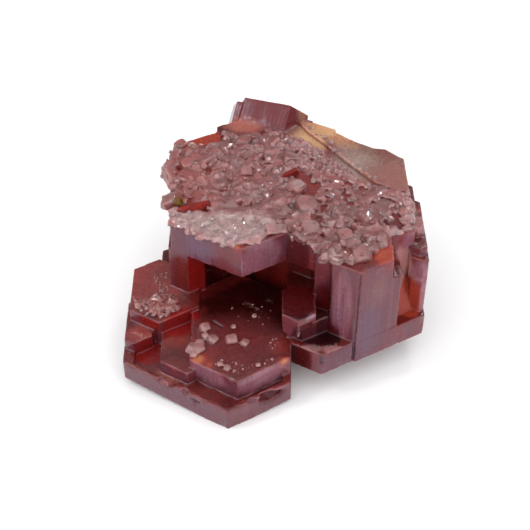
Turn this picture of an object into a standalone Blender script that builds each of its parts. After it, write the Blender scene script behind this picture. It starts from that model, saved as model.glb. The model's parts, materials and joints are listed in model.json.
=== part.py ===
"""Vanadinite specimen: a cluster of flat six-sided crystals grown side by side, dusted with a pale druse.

Metres, +Z up. The origin is the middle of the object's footprint, on the surface that it rests on.
Every crystal is a six-sided prism with its long axis upright and one edge towards -Y.
Sizes are written in millimetres and turned into metres when an object is finished.
"""
import math
import random
from collections import namedtuple

import bmesh
import bpy
from mathutils import Euler, Matrix

for leftover in list(bpy.data.objects):
    bpy.data.objects.remove(leftover)

MM = 0.001
FACE_SLOPE = math.tan(math.radians(30.0))
REACH = 40.0              # further than any part of the object is from its middle
WELD = 0.004              # corners closer than this are one corner
SLIVER = 0.001            # edges shorter than this are dropped

# A crystal's outline is fixed by its left and right faces (x) and its front and back corners (x, y);
# the four sloping faces between them stand at 30 degrees. bottom and top are heights.
Crystal = namedtuple("Crystal", "left right front back bottom top")

# ---------------------------------------------------------------- heights of the cluster's storeys
PLATE_TOP = 14.3          # the broad flat top of the cluster
PLATE_BOTTOM = 10.8       # underside of the overhanging plate
RIM_TOP = 5.3             # top of the low rim at the right
HANGING_BOTTOM = 2.8      # underside of the crystals that hang over the surface at the front right
REST = -0.25              # the broken base, cut off flat

# ---------------------------------------------------------------- the broad top plate
# Some crystals stop a few hundredths short of their neighbours' faces, so that no two faces coincide.
TOP_CRYSTALS = (
    Crystal(-10.6, 13.0, (0.9, -4.6), (-0.8, 15.2), PLATE_BOTTOM, PLATE_TOP),
    Crystal(-6.3, 0.6, (-3.0, 6.0), (-2.0, 15.5), 11.5, PLATE_TOP),
    Crystal(0.2, 6.3, (2.7, 8.5), (2.1, 14.9), 9.6, PLATE_TOP),
    Crystal(-10.3, 0.7, (-3.4, -7.3), (-4.0, 6.0), PLATE_BOTTOM, PLATE_TOP),
    Crystal(-0.6, 5.0, (3.4, -6.3), (2.0, 2.0), PLATE_BOTTOM - 0.05, PLATE_TOP - 0.1),
    Crystal(3.5, 8.0, (6.2, -8.9), (6.0, 0.0), 5.0, PLATE_TOP - 0.05),
)
# The bare terrace at the back right stands a little proud, with a broken ridge along its left side.
TERRACE_TOP = 14.75
TERRACE_OUTLINE = [
    (3.2, 11.6), (5.0, 9.2), (6.9, 6.2), (9.6, 2.6), (11.6, 1.3), (12.95, 1.0),
    (12.95, 6.4), (11.2, 8.2), (10.0, 8.4), (8.1, 9.7), (4.7, 12.6), (2.3, 13.6),
]
# The druse keeps clear of the terrace's ridge.
TERRACE_ROOM = [
    (1.4, 12.2), (2.8, 11.2), (4.6, 8.9), (6.5, 5.9), (9.2, 2.3), (11.4, 0.9), (13.6, 0.6), (13.6, 16.0),
    (1.0, 16.0),
]

# ---------------------------------------------------------------- the tall crystals at the right
RIGHT_CRYSTALS = (
    Crystal(4.9, 10.7, (7.5, -10.6), (7.5, 0.5), HANGING_BOTTOM, PLATE_TOP - 0.02),
    Crystal(6.2, 11.6, (7.5, -10.55), (8.0, -1.0), HANGING_BOTTOM + 0.1, 12.0),
    Crystal(8.0, 13.1, (10.9, -5.2), (9.6, 4.0), 8.9, PLATE_TOP - 0.05),
    Crystal(12.7, 14.5, (14.0, -5.8), (13.8, 0.9), 8.85, 11.5),
    Crystal(12.6, 14.35, (13.7, -5.0), (13.6, 1.1), 9.0, 12.3),
    Crystal(12.4, 14.15, (13.4, -3.2), (13.3, 1.7), 9.1, 13.3),
    Crystal(8.6, 13.75, (12.0, -2.0), (12.2, 5.2), 7.4, 12.95),
    Crystal(6.4, 14.5, (7.55, -10.62), (10.0, 2.0), HANGING_BOTTOM, RIM_TOP),
    Crystal(12.9, 14.42, (13.95, -6.1), (13.7, 1.0), 4.2, 9.35),
)
# The crystal in the recess under them leans out at its foot.
RECESS_CRYSTAL = Crystal(9.6, 13.3, (11.3, -5.3), (11.3, 0.5), 4.4, 9.4)
RECESS_HINGE = (11.3, -5.3, 8.95)
RECESS_TURN_DEG = -25.0

# ---------------------------------------------------------------- step and foot at the front middle
STEP_CRYSTALS = (
    Crystal(0.4, 3.6, (1.9, -11.1), (2.0, -5.9), 7.9, 8.8),
    Crystal(0.42, 3.2, (1.85, -11.0), (1.9, -5.6), 7.1, 8.0),
    Crystal(0.47, 2.2, (1.8, -10.9), (1.6, -5.4), 6.4, 7.3),
    Crystal(0.95, 5.2, (2.35, -10.35), (2.6, -2.0), HANGING_BOTTOM + 0.3, 7.3),
    Crystal(1.3, 7.4, (4.2, -12.3), (4.4, -5.0), HANGING_BOTTOM - 0.03, 5.4),
)

# ---------------------------------------------------------------- the hidden body that carries it all
BODY_CRYSTALS = (
    Crystal(-10.6, -7.1, (-8.7, -4.25), (-8.9, 4.2), 3.0, PLATE_BOTTOM + 0.3),
    Crystal(-9.8, -1.0, (-5.5, -0.3), (-5.2, 9.4), REST - 1.0, PLATE_BOTTOM + 0.4),
    Crystal(-2.2, 9.0, (3.5, -3.6), (3.6, 11.0), REST - 1.0, PLATE_BOTTOM + 0.5),
    Crystal(4.2, 12.5, (9.0, -4.4), (8.7, 7.4), REST - 1.0, 9.4),
    Crystal(-9.0, 0.2, (-4.0, 2.0), (-4.3, 13.3), 3.6, 11.2),
    Crystal(-1.1, 8.4, (3.0, 4.0), (3.3, 12.9), 1.7, 8.3),
    Crystal(5.2, 13.9, (9.2, -1.8), (10.3, 6.4), 2.9, 8.2),
    Crystal(-12.0, -5.0, (-9.0, -3.0), (-8.6, 5.6), 0.5, 4.9),
    Crystal(-7.1, 4.1, (-2.0, 0.2), (-1.9, 14.3), REST - 1.0, 4.5),
    Crystal(-8.3, -2.7, (-5.4, 6.0), (-5.6, 14.4), 6.5, 8.3),
    Crystal(-10.9, -6.2, (-8.4, 3.0), (-8.7, 9.7), 2.3, 6.9),
    Crystal(4.7, 9.9, (7.0, 5.0), (7.1, 11.5), 4.4, 6.4),
    Crystal(-1.6, 3.4, (0.8, 8.0), (1.1, 15.3), 2.2, 3.7),
    Crystal(7.9, 12.6, (10.0, 2.0), (10.2, 8.3), 0.7, 3.6),
    Crystal(-4.4, 0.9, (-1.7, 9.0), (-1.5, 14.9), 8.9, 10.3),
    Crystal(11.0, 14.3, (12.9, -3.0), (12.6, 3.4), 5.2, 6.6),
)

# ---------------------------------------------------------------- the low plates, tilted to the front
LOW_TILT_DEG = 5.0
LOW_PIVOT = (-4.9, -16.2, 0.0)
LOW_RIM_TOP = 2.5
LOW_CRYSTALS = (
    Crystal(-15.0, 1.3, (-4.7, -16.5), (-6.4, -1.0), -1.0, LOW_RIM_TOP),
    Crystal(-8.4, 1.2, (-3.8, -14.6), (-4.0, -0.6), LOW_RIM_TOP - 0.4, 4.6),
    Crystal(-11.3, -7.9, (-8.6, -12.8), (-9.5, -4.0), LOW_RIM_TOP - 0.4, 3.5),
    Crystal(-14.5, -7.7, (-11.5, -7.75), (-12.0, 1.0), LOW_RIM_TOP - 0.4, 5.0),
    Crystal(-14.9, -12.2, (-14.0, -9.2), (-13.5, -3.0), LOW_RIM_TOP - 0.4, 3.6),
)
LOW_FRONT_BOTTOM = -0.45
LOW_UNDERCUT_DEG = 5.0    # the low plate's broken underside rises towards the back
CLEAR_OF_CORNER = 0.01    # the cut under the low plate starts this far in front of its front corner
# A shallow trough runs between the low plate's rim and the plate that stands on it.
TROUGH = Crystal(-13.9, 0.5, (-4.7, -15.9), (-6.4, -3.0), 1.95, 3.5)

# ---------------------------------------------------------------- chips broken out of the edges
# Each chip is a wedge: the middle of its cut, its size, and its turn about X, Y and Z in degrees.
CHIP_RADIUS = 0.62        # of the faceted ball that a chip's size stretches
CHIPS = (
    ((-0.7, -14.35, 2.15), (2.5, 1.1, 1.0), (20.0, 8.0, 30.0)),
    ((-2.3, -15.6, 2.55), (1.3, 1.0, 0.8), (-10.0, 12.0, 30.0)),
    ((-10.6, -13.3, 2.7), (2.0, 1.2, 0.9), (15.0, -8.0, -30.0)),
    ((-8.9, -14.4, 2.5), (0.8, 0.9, 0.7), (25.0, 30.0, -20.0)),
    ((-3.9, -7.3, 14.5), (1.6, 0.7, 0.6), (35.0, 0.0, -25.0)),
    ((9.2, -9.9, 14.4), (3.2, 0.8, 0.7), (40.0, 5.0, 30.0)),
    ((5.3, -12.1, 5.6), (1.2, 0.9, 1.0), (20.0, 30.0, 35.0)),
    ((3.7, 15.3, 13.6), (3.0, 1.6, 1.6), (-30.0, 25.0, -25.0)),
    ((-8.5, 11.6, 14.6), (3.4, 1.0, 0.9), (-35.0, 0.0, 28.0)),
    ((-1.6, 12.9, 4.9), (2.6, 2.0, 1.4), (-25.0, 10.0, 20.0)),
    ((6.9, 10.8, 8.4), (2.4, 1.6, 1.2), (-30.0, -12.0, -28.0)),
    ((13.9, -9.0, 2.9), (1.4, 3.4, 0.8), (0.0, 35.0, 0.0)),
)

# ---------------------------------------------------------------- the crystal that leans back
LEANING_CRYSTAL = Crystal(-4.5, 3.5, (0.0, 0.0), (-0.4, 6.2), -5.5, 0.0)
LEANING_CORNER = (1.5, 14.0, 16.3)
LEANING_TURN_DEG = (-47.0, 20.5, -2.0)
LEANING_TWIN = Crystal(-5.1, 1.8, (-2.2, 1.5), (-2.4, 7.0), -6.0, -0.5)

# ---------------------------------------------------------------- the druse
CLEARANCE = 0.3           # between the druse's underside and the crystals that carry it
DRUSE_SHEET = 0.3         # thickness of the sheet that its grains stand on
GRAIN_LIFT = 0.24         # how far above the sheet's underside a grain's middle is
TRIES_PER_GRAIN = 60      # how often the scatter tries for each place that a patch could hold

# A patch of druse: where it lies, the height of the face that it lies on, the spacing and the size of
# its grains, and the seed of their scatter.
Patch = namedtuple("Patch", "outline height spacing small large seed")
TOP_PATCH = Patch([
    (-10.5, 9.3), (-9.3, 10.1), (-6.6, 11.6), (-5.0, 11.2), (-1.5, 11.0), (0.7, 10.6), (2.4, 9.4),
    (4.6, 6.8), (6.3, 4.6), (9.0, 1.2), (11.0, 0.2), (12.8, -0.1), (12.8, -4.0), (11.0, -4.9),
    (10.5, -8.3), (7.6, -10.3), (5.1, -9.0), (3.6, -7.0), (3.4, -6.1), (1.2, -4.9), (0.5, -4.8),
    (-3.4, -6.9), (-10.1, -3.2), (-10.5, 4.0)], PLATE_TOP, 1.05, 0.65, 1.4, 1)
SIDE_PATCH = Patch([
    (-12.4, -4.6), (-9.8, -4.4), (-9.6, -6.3), (-11.5, -7.4), (-14.0, -6.1), (-14.2, -4.0),
    (-13.4, -3.2)], 5.0, 0.7, 0.4, 0.8, 11)
FRONT_PATCH = Patch([
    (-8.2, -9.2), (-6.9, -9.0), (-6.4, -10.7), (-7.3, -11.7), (-8.2, -11.4)], 4.6, 0.85, 0.6, 1.0, 5)


def outline_of(crystal):
    """The six corners of a crystal, anticlockwise from its front corner."""
    front_x, front_y = crystal.front
    back_x, back_y = crystal.back
    return [
        (front_x, front_y),
        (crystal.right, front_y + (crystal.right - front_x) * FACE_SLOPE),
        (crystal.right, back_y - (crystal.right - back_x) * FACE_SLOPE),
        (back_x, back_y),
        (crystal.left, back_y - (back_x - crystal.left) * FACE_SLOPE),
        (crystal.left, front_y + (front_x - crystal.left) * FACE_SLOPE),
    ]


def prism(name, outline, bottom, top):
    """A closed upright prism on an anticlockwise outline."""
    mesh = bpy.data.meshes.new(name)
    work = bmesh.new()
    lower = [work.verts.new((x, y, bottom)) for x, y in outline]
    upper = [work.verts.new((x, y, top)) for x, y in outline]
    work.faces.new(list(reversed(lower)))
    work.faces.new(upper)
    for index in range(len(outline)):
        after = (index + 1) % len(outline)
        work.faces.new((lower[index], lower[after], upper[after], upper[index]))
    work.to_mesh(mesh)
    work.free()
    piece = bpy.data.objects.new(name, mesh)
    bpy.context.collection.objects.link(piece)
    return piece


def square(front):
    """An outline wider than the object, from a front edge at this y to far behind it."""
    return [(-REACH, front), (REACH, front), (REACH, REACH), (-REACH, REACH)]


def crystal_solid(name, crystal):
    """The closed prism of one crystal."""
    return prism(name, outline_of(crystal), crystal.bottom, crystal.top)


def place(piece, matrix):
    """Moves a piece's mesh and gives the piece back."""
    piece.data.transform(matrix)
    return piece


def combine(body, piece, operation, overlapping=False):
    """Joins a piece to the body, or cuts it away, and keeps the plain result."""
    step = body.modifiers.new(operation.lower(), "BOOLEAN")
    step.operation = operation
    step.solver = "EXACT"
    step.use_self = overlapping
    step.object = piece
    view = bpy.context.evaluated_depsgraph_get()
    result = bpy.data.meshes.new_from_object(body.evaluated_get(view))
    body.modifiers.clear()
    body.data = result
    bpy.data.objects.remove(piece)
    return body


low_turn = (Matrix.Translation(LOW_PIVOT) @ Matrix.Rotation(math.radians(LOW_TILT_DEG), 4, "X")
            @ Matrix.Translation([-value for value in LOW_PIVOT]))
recess_turn = (Matrix.Translation(RECESS_HINGE) @ Matrix.Rotation(math.radians(RECESS_TURN_DEG), 4, "X")
               @ Matrix.Translation([-value for value in RECESS_HINGE]))
leaning_turn = (Matrix.Translation(LEANING_CORNER)
                @ Euler([math.radians(value) for value in LEANING_TURN_DEG]).to_matrix().to_4x4())


def chip_solid(middle, size, turn_deg):
    """A wedge whose edges stay sharp, like the broken faces that it leaves."""
    mesh = bpy.data.meshes.new("chip")
    work = bmesh.new()
    bmesh.ops.create_icosphere(work, subdivisions=1, radius=CHIP_RADIUS)
    work.to_mesh(mesh)
    work.free()
    piece = bpy.data.objects.new("chip", mesh)
    bpy.context.collection.objects.link(piece)
    turn = Euler([math.radians(value) for value in turn_deg]).to_matrix().to_4x4()
    return place(piece, Matrix.Translation(middle) @ turn @ Matrix.Diagonal((*size, 1.0)))


def inside(point, outline):
    """Whether a point lies within an outline."""
    x, y = point
    within = False
    for (ax, ay), (bx, by) in zip(outline, outline[1:] + outline[:1]):
        if (ay > y) != (by > y) and x < (bx - ax) * (y - ay) / (by - ay) + ax:
            within = not within
    return within


def scatter(patch):
    """Places for the grains, no closer than the patch's spacing, drawn from its own seed."""
    dice = random.Random(patch.seed)
    xs = [x for x, y in patch.outline]
    ys = [y for x, y in patch.outline]
    places = []
    tries = int(TRIES_PER_GRAIN * (max(xs) - min(xs)) * (max(ys) - min(ys)) / patch.spacing ** 2)
    for _ in range(tries):
        spot = (dice.uniform(min(xs), max(xs)), dice.uniform(min(ys), max(ys)))
        if inside(spot, patch.outline) and all(math.dist(spot, other) > patch.spacing for other in places):
            places.append(spot)
    return places, dice


def weld(body):
    """Merges the corners that a join leaves closer than any real detail."""
    work = bmesh.new()
    work.from_mesh(body.data)
    bmesh.ops.remove_doubles(work, verts=work.verts, dist=WELD)
    bmesh.ops.dissolve_degenerate(work, edges=work.edges, dist=SLIVER)
    work.to_mesh(body.data)
    work.free()


def keep_largest_shell(body):
    """Fills the pockets that joined shapes close between them, by dropping every shell but the outer one."""
    work = bmesh.new()
    work.from_mesh(body.data)
    waiting = set(work.faces)
    shells = []
    while waiting:
        shell = set()
        edge_of_search = [waiting.pop()]
        while edge_of_search:
            face = edge_of_search.pop()
            shell.add(face)
            for edge in face.edges:
                for neighbour in edge.link_faces:
                    if neighbour in waiting:
                        waiting.discard(neighbour)
                        edge_of_search.append(neighbour)
        shells.append(shell)
    shells.sort(key=len)
    for shell in shells[:-1]:
        bmesh.ops.delete(work, geom=list(shell), context="FACES")
    work.to_mesh(body.data)
    work.free()


def druse(name, patch, keep_off=()):
    """One crust: a thin sheet with its blocky grains fused to it, cut flat underneath."""
    underside = patch.height + CLEARANCE
    body = prism(name, patch.outline, underside, underside + DRUSE_SHEET)
    places, dice = scatter(patch)
    grains = bmesh.new()
    for x, y in places:
        size = dice.uniform(patch.small, patch.large)
        turn = Euler([dice.uniform(0.0, math.tau) for _ in range(3)]).to_matrix().to_4x4()
        block = Matrix.Diagonal((size, size * dice.uniform(0.7, 1.0), size * dice.uniform(0.6, 0.9), 1.0))
        spot = Matrix.Translation((x, y, underside + GRAIN_LIFT))
        bmesh.ops.create_cube(grains, size=1.0, matrix=spot @ turn @ block)
    mesh = bpy.data.meshes.new("grains")
    grains.to_mesh(mesh)
    grains.free()
    scattered = bpy.data.objects.new("grains", mesh)
    bpy.context.collection.objects.link(scattered)
    combine(body, scattered, "UNION", overlapping=True)
    combine(body, prism("below", square(-REACH), underside - REACH, underside), "DIFFERENCE")
    for cutter in keep_off:
        combine(body, cutter, "DIFFERENCE")
    weld(body)
    keep_largest_shell(body)
    return body


def low_plates():
    """The tilted plates at the front left, with their trough and their broken underside."""
    body = crystal_solid("low_plate", LOW_CRYSTALS[0])
    combine(body, crystal_solid("trough", TROUGH), "DIFFERENCE")
    front_y = LOW_CRYSTALS[0].front[1]
    under = place(prism("under", square(0.0), -REACH, 0.0),
                  Matrix.Translation((0.0, front_y - CLEAR_OF_CORNER, LOW_FRONT_BOTTOM))
                  @ Matrix.Rotation(math.radians(LOW_UNDERCUT_DEG), 4, "X"))
    combine(body, under, "DIFFERENCE")
    for crystal in LOW_CRYSTALS[1:]:
        combine(body, crystal_solid("low_crystal", crystal), "UNION")
    return place(body, low_turn)


def cluster():
    """All the crystals joined in one body, with its chips cut out and its base cut flat."""
    body = crystal_solid("vanadinite_cluster", TOP_CRYSTALS[0])
    for crystal in TOP_CRYSTALS[1:] + RIGHT_CRYSTALS + STEP_CRYSTALS + BODY_CRYSTALS:
        combine(body, crystal_solid("crystal", crystal), "UNION")
    combine(body, place(crystal_solid("recess_crystal", RECESS_CRYSTAL), recess_turn), "UNION")
    combine(body, prism("terrace", TERRACE_OUTLINE, PLATE_TOP - 1.0, TERRACE_TOP), "UNION")
    combine(body, low_plates(), "UNION")
    for crystal in (LEANING_CRYSTAL, LEANING_TWIN):
        combine(body, place(crystal_solid("leaning", crystal), leaning_turn), "UNION")
    for chip in CHIPS:
        combine(body, chip_solid(*chip), "DIFFERENCE")
    combine(body, prism("ground", square(-REACH), -REACH, REST), "DIFFERENCE")
    weld(body)
    keep_largest_shell(body)
    return body


def material(name, colour, roughness):
    """A plain finish: a colour, a roughness and no metal."""
    finish = bpy.data.materials.new(name)
    finish.use_nodes = True
    shader = finish.node_tree.nodes["Principled BSDF"]
    shader.inputs["Base Color"].default_value = colour
    shader.inputs["Roughness"].default_value = roughness
    shader.inputs["Metallic"].default_value = 0.0
    return finish


def finish_piece(piece, finish, settle):
    """Settles a piece on the resting surface, turns its millimetres into metres and gives it its finish."""
    piece.data.transform(Matrix.Scale(MM, 4) @ settle)
    piece.data.materials.clear()
    piece.data.materials.append(finish)


def settling(pieces):
    """The move that puts the middle of the footprint at the origin, on the resting surface."""
    corners = [vertex.co for piece in pieces for vertex in piece.data.vertices]
    lowest = [min(corner[axis] for corner in corners) for axis in range(3)]
    highest = [max(corner[axis] for corner in corners) for axis in range(3)]
    return Matrix.Translation((-(lowest[0] + highest[0]) / 2, -(lowest[1] + highest[1]) / 2, -lowest[2]))


body = cluster()
crusts = [
    druse("top_druse", TOP_PATCH, [prism("terrace_room", TERRACE_ROOM, PLATE_TOP, TERRACE_TOP + 5.0)]),
    place(druse("side_druse", SIDE_PATCH), low_turn),
    place(druse("front_druse", FRONT_PATCH), low_turn),
]
settle = settling([body] + crusts)
finish_piece(body, material("vanadinite_red", (0.20, 0.03, 0.03, 1.0), 0.15), settle)
pale = material("pale_druse", (0.55, 0.38, 0.40, 1.0), 0.25)
for crust in crusts:
    finish_piece(crust, pale, settle)
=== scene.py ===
import json
import math

import bmesh
import bpy
import numpy as np
from mathutils import Euler, Matrix, Vector

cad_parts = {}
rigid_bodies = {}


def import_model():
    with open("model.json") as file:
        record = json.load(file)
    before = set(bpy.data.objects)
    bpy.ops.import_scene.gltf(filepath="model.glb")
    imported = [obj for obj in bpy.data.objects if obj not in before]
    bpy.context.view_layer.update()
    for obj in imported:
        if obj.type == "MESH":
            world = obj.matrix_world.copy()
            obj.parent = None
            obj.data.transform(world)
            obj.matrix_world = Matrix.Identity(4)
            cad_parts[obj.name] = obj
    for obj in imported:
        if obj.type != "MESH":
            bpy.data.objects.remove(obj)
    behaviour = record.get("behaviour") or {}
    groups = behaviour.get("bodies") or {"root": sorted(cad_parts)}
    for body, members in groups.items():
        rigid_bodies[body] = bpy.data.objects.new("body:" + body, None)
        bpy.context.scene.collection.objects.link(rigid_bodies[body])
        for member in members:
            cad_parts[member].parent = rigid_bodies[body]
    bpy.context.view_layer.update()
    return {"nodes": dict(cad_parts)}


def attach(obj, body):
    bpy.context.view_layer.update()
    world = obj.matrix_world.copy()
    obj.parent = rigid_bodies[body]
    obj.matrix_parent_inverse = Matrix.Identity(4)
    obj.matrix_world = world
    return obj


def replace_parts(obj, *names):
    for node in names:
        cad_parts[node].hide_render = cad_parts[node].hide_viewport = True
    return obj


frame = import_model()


# ------------------------ light tent and camera
# The specimen lies on a matt white sheet in a white light tent. The light is soft, brightest from above and
# in front and dim from behind; two small lamps make the crystals sparkle, and the camera looks down on it.

MM = 0.001
VIEW_DOWN_DEG = 41.0
VIEW_DISTANCE = 110.0 * MM
VIEW_TARGET = Vector((-0.95, -2.92, 8.05)) * MM
SENSOR_MM = 36.0
FOCAL_LENGTH_PX = 1100.0
FRAME_WIDTH_PX = 530.0
SHEET_REACH = 3.0
SHEET_WHITE = "#F8F8F9"
TENT_BRIGHTEST = (0.05, -0.55, 0.82)  # the way to the soft box, over and in front of the specimen
TENT_STRENGTH = 1.75
TENT_DIM = 0.32
LAMPS = (("lamp_left", (-0.20, -0.06, 0.26), 0.04, 0.13),   # name, place, width, watts
         ("lamp_back", (0.10, 0.22, 0.24), 0.03, 0.09))


def linear(hex_colour):
    """A colour written as sRGB hex, as linear RGBA."""
    parts = [int(hex_colour[i:i + 2], 16) / 255.0 for i in (1, 3, 5)]
    return [part / 12.92 if part <= 0.04045 else ((part + 0.055) / 1.055) ** 2.4 for part in parts] + [1.0]


def add(tree, kind, inputs=None, **settings):
    """Adds a node. Settings are its own values; an input is linked from a socket or a node's first
    output, or set to a value or a hex colour."""
    made = tree.nodes.new(kind)
    for name, value in settings.items():
        setattr(made, name, value)
    for name, source in (inputs or {}).items():
        if isinstance(source, bpy.types.Node):
            source = source.outputs[0]
        if isinstance(source, bpy.types.NodeSocket):
            tree.links.new(source, made.inputs[name])
        else:
            made.inputs[name].default_value = linear(source) if isinstance(source, str) else source
    return made


collection = bpy.context.scene.collection
view_down = math.radians(VIEW_DOWN_DEG)
camera = bpy.data.objects.new("camera", bpy.data.cameras.new("camera"))
collection.objects.link(camera)
camera.location = VIEW_TARGET + Vector((0.0, -math.cos(view_down), math.sin(view_down))) * VIEW_DISTANCE
camera.rotation_euler = (math.pi / 2 - view_down, 0.0, 0.0)
camera.data.sensor_width = SENSOR_MM
camera.data.lens = SENSOR_MM * FOCAL_LENGTH_PX / FRAME_WIDTH_PX
camera.data.clip_start = 1.0 * MM
camera.data.clip_end = 50.0
bpy.context.scene.camera = camera

sheet_mesh = bpy.data.meshes.new("white_sheet")
sheet_mesh.from_pydata(
    [(-SHEET_REACH, -SHEET_REACH, 0.0), (SHEET_REACH, -SHEET_REACH, 0.0),
     (SHEET_REACH, SHEET_REACH, 0.0), (-SHEET_REACH, SHEET_REACH, 0.0)], [], [(0, 1, 2, 3)])
sheet = bpy.data.objects.new("white_sheet", sheet_mesh)
collection.objects.link(sheet)
sheet_finish = bpy.data.materials.new("matt_white_sheet")
sheet_finish.use_nodes = True
sheet_shader = sheet_finish.node_tree.nodes["Principled BSDF"]
sheet_shader.inputs["Base Color"].default_value = linear(SHEET_WHITE)
sheet_shader.inputs["Roughness"].default_value = 0.9
sheet_shader.inputs["Specular IOR Level"].default_value = 0.0
sheet_mesh.materials.append(sheet_finish)

tent = bpy.data.worlds.new("light_tent")
tent.use_nodes = True
tree = tent.node_tree
background = tree.nodes["Background"]
background.inputs["Color"].default_value = (1.0, 1.0, 1.0, 1.0)
facing = add(tree, "ShaderNodeVectorMath", {
    0: add(tree, "ShaderNodeTexCoord").outputs["Generated"], 1: Vector(TENT_BRIGHTEST).normalized()},
    operation="DOT_PRODUCT")
fall_off = add(tree, "ShaderNodeMapRange", {
    "Value": facing.outputs["Value"], "From Min": 0.05, "From Max": 0.95, "To Min": TENT_DIM,
    "To Max": TENT_STRENGTH}, interpolation_type="SMOOTHSTEP")
tree.links.new(fall_off.outputs[0], background.inputs["Strength"])
bpy.context.scene.world = tent
bpy.context.scene.view_settings.view_transform = "Standard"

for lamp_name, place, width, watts in LAMPS:
    lamp = bpy.data.objects.new(lamp_name, bpy.data.lights.new(lamp_name, "AREA"))
    collection.objects.link(lamp)
    lamp.data.shape = "DISK"
    lamp.data.size = width
    lamp.data.energy = watts
    lamp.location = place
    lamp.rotation_euler = (-Vector(place)).to_track_quat("-Z", "Y").to_euler()


# ------------------------ the vanadinite cluster
# Lead chlorovanadate, grown as flat six-sided crystals that have run together into one piece. The faces
# are natural growth faces: bright, faintly grooved upright ones under a painted mauve sheen, satin flat
# ones, and edges that have chipped in handling. Its colour is a deep red; thin or clear places get a
# painted orange glow.

RELIEF_VOXEL = 0.09                  # mm; the smallest relief that the mesh carries
RELIEF_TRIANGLES = 188000
LEANING_CORNER = Vector((1.75, 13.08, 16.55))
LEANING_TURN_DEG = (-47.0, 20.5, -2.0)
FINE_GROOVE = 0.012                  # mm, as all the depths below
BROAD_GROOVE = 0.018
SWELL = 0.018
LAYER_STEP = 0.030
LAYER_WAVE = 0.008
EDGE_WEAR = 0.01
CHIP_DEPTH = 0.20
CRACK_DEPTH = 0.16


def mesh_arrays(mesh):
    """The corners, their normals and the edges of a mesh, as arrays."""
    points = np.empty(len(mesh.vertices) * 3)
    mesh.vertices.foreach_get("co", points)
    normals = np.empty(len(mesh.vertices) * 3)
    mesh.vertex_normals.foreach_get("vector", normals)
    edges = np.empty(len(mesh.edges) * 2, dtype=np.int64)
    mesh.edges.foreach_get("vertices", edges)
    return points.reshape(-1, 3), normals.reshape(-1, 3), edges.reshape(-1, 2)


def drift(points, size, seed):
    """Smooth random values from -1 to 1 at the points, with lumps of about the given size."""
    spot = points / size + 31.7 * seed
    cell = np.floor(spot).astype(np.int64)
    part = spot - cell
    part = part * part * (3.0 - 2.0 * part)
    total = np.zeros(len(points))
    for corner in np.ndindex(2, 2, 2):      # each lattice corner's own random value is a hash of its place
        key = cell + np.array(corner)
        mixed = (key[:, 0] * 73856093) ^ (key[:, 1] * 19349663) ^ (key[:, 2] * 83492791)
        mixed = (mixed ^ (mixed >> 13)) * 1274126177
        value = ((mixed ^ (mixed >> 16)) & 0xFFFFF) / float(0xFFFFF) * 2.0 - 1.0
        weight = np.prod(np.where(np.array(corner) == 1, part, 1.0 - part), axis=1)
        total += value * weight
    return total


def spread(values, edges, rounds):
    """Averages values with their neighbours' a few times."""
    counts = np.bincount(edges.ravel(), minlength=len(values)).astype(float)
    for _ in range(rounds):
        sums = np.bincount(edges[:, 0], values[edges[:, 1]], len(values))
        sums += np.bincount(edges[:, 1], values[edges[:, 0]], len(values))
        values = 0.5 * values + 0.5 * sums / np.maximum(counts, 1.0)
    return values


def ridges(points, normals, edges):
    """How sharply the surface juts out at each corner, from 0 on a gentle bend to 1 on a sharp edge."""
    counts = np.maximum(np.bincount(edges.ravel(), minlength=len(points)), 1.0)
    middle = np.stack([
        (np.bincount(edges[:, 0], points[edges[:, 1], axis], len(points))
         + np.bincount(edges[:, 1], points[edges[:, 0], axis], len(points))) / counts
        for axis in range(3)], axis=1)
    bulge = np.einsum("ij,ij->i", points - middle, normals)
    return np.clip(spread(bulge, edges, 3) / (0.08 * RELIEF_VOXEL) - 0.5, 0.0, 1.0)


def ramp(values, start, width):
    """Rises from 0 at the start to 1 over the width."""
    return np.clip((values - start) / width, 0.0, 1.0)


def spots(points, places):
    """The strength of a list of soft round spots (x, y, z, radius, strength) at the points."""
    total = np.zeros(len(points))
    for x, y, z, radius, strength in places:
        away = np.linalg.norm(points - (x, y, z), axis=1) / radius
        total = np.maximum(total, strength * np.clip(1.3 - 1.3 * away, 0.0, 1.0))
    return total


def zone(points, outline, blur, wobble=0.0):
    """1 inside an outline drawn from above and 0 outside it, changing over the blur distance."""
    corners = np.array(outline)
    inside = np.zeros(len(points), dtype=bool)
    nearest = np.full(len(points), 1e9)
    for start, end in zip(corners, np.roll(corners, -1, axis=0)):
        along = end - start
        offset = points[:, :2] - start
        share = np.clip(offset @ along / (along @ along), 0.0, 1.0)
        nearest = np.minimum(nearest, np.linalg.norm(offset - share[:, None] * along, axis=1))
        crosses = (start[1] > points[:, 1]) != (end[1] > points[:, 1])
        rise = along[1] if along[1] else 1.0
        inside ^= crosses & (offset[:, 0] < offset[:, 1] / rise * along[0])
    signed = np.where(inside, nearest, -nearest)
    if wobble:
        signed = signed + wobble * (drift(points, 1.3, 21) + 0.6 * drift(points, 0.5, 22))
    return np.clip(0.5 + signed / (2.0 * blur), 0.0, 1.0)


def keep(mesh, name, values):
    """Stores a value for each corner of a mesh, for its material to read."""
    layer = mesh.attributes.new(name, "FLOAT", "POINT")
    layer.data.foreach_set("value", values.astype(np.float32))


def reshaped(mesh, name, kind, settings):
    """A plain mesh made from another by one modifier."""
    carrier = bpy.data.objects.new(name, mesh)
    collection.objects.link(carrier)
    step = carrier.modifiers.new(kind.lower(), kind)
    for key, value in settings.items():
        setattr(step, key, value)
    made = bpy.data.meshes.new_from_object(carrier.evaluated_get(bpy.context.evaluated_depsgraph_get()))
    bpy.data.objects.remove(carrier)
    return made


def thinned(mesh, name, triangles):
    """The mesh with no more than a number of triangles."""
    share = triangles / (2.0 * len(mesh.polygons))
    return reshaped(mesh, name, "DECIMATE", {"ratio": share}) if share < 1.0 else mesh


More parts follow.
